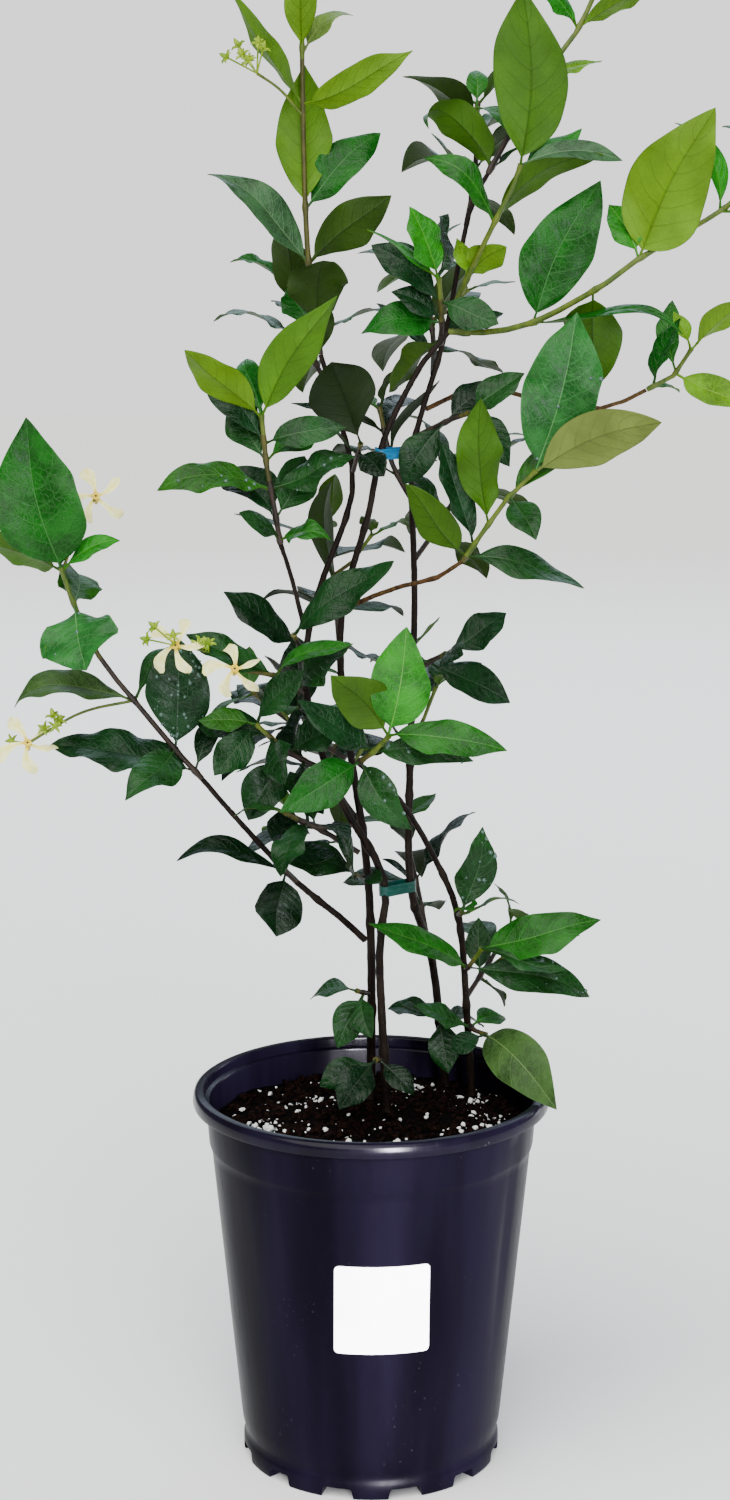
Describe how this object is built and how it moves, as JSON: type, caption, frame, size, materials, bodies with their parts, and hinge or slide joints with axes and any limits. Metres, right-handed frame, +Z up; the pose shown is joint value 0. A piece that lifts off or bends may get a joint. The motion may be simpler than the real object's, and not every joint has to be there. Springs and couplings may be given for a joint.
{
  "type": "potted climbing shrub",
  "caption": "Evergreen twining shrub with glossy pointed leaves and small white star flowers, standing in a round dark nursery pot of bark compost.",
  "frame": {"origin": "centre of the pot's flat underside", "axes": "+Z up along the pot's axis, +Y away from the viewer of the picture, +X to the viewer's right"},
  "size_m": [0.3735, 0.2072, 0.7426],
  "materials": {
    "pot_plastic": "satin blue-black moulded plastic",
    "bark_compost": "damp crumbly bark",
    "label_paper": "coated white, blank",
    "tie_blue": "stretchy blue tape",
    "tie_green": "stretchy green tape",
    "bark": "fine dark brown bark",
    "foliage": "glossy dark green above, dull yellow-green below"
  },
  "bodies": {
    "root": {"pot": "pot_plastic", "soil": "bark_compost", "label": "label_paper", "tie_low": "tie_green", "tie_high": "tie_blue", "stem_left": "bark", "stem_middle": "bark", "stem_right": "bark", "stem_back": "bark", "bough_low_left": "bark", "bough_mid_left": "bark", "bough_mid_right": "bark", "bough_far_right": "bark", "spray_low_left": "foliage", "spray_flowers": "foliage", "spray_mid_left": "foliage", "spray_fork_left": "foliage", "spray_high_left": "foliage", "spray_inner_left": "foliage", "spray_top_centre": "foliage", "spray_top_right": "foliage", "spray_high_right": "foliage", "spray_mid_right": "foliage", "spray_far_right": "foliage", "spray_front": "foliage", "spray_centre_left": "foliage", "spray_low_bough": "foliage", "spray_low_centre": "foliage", "spray_right_upper": "foliage", "spray_right_lower": "foliage", "spray_rim_right": "foliage", "spray_soil_left": "foliage", "spray_soil_front": "foliage", "spray_soil_right": "foliage", "spray_crown_centre": "foliage", "spray_inner_right": "foliage", "spray_inner_low": "foliage", "spray_back_low": "foliage", "spray_back_left_low": "foliage", "spray_back_right_low": "foliage", "spray_back_middle": "foliage", "spray_back_right_middle": "foliage", "spray_back_high": "foliage", "spray_back_high_left": "foliage", "spray_back_top": "foliage", "spray_centre_back": "foliage", "spray_centre_low": "foliage", "spray_crown_back": "foliage", "spray_left_low": "foliage", "spray_right_low_back": "foliage"}
  },
  "joints": []
}
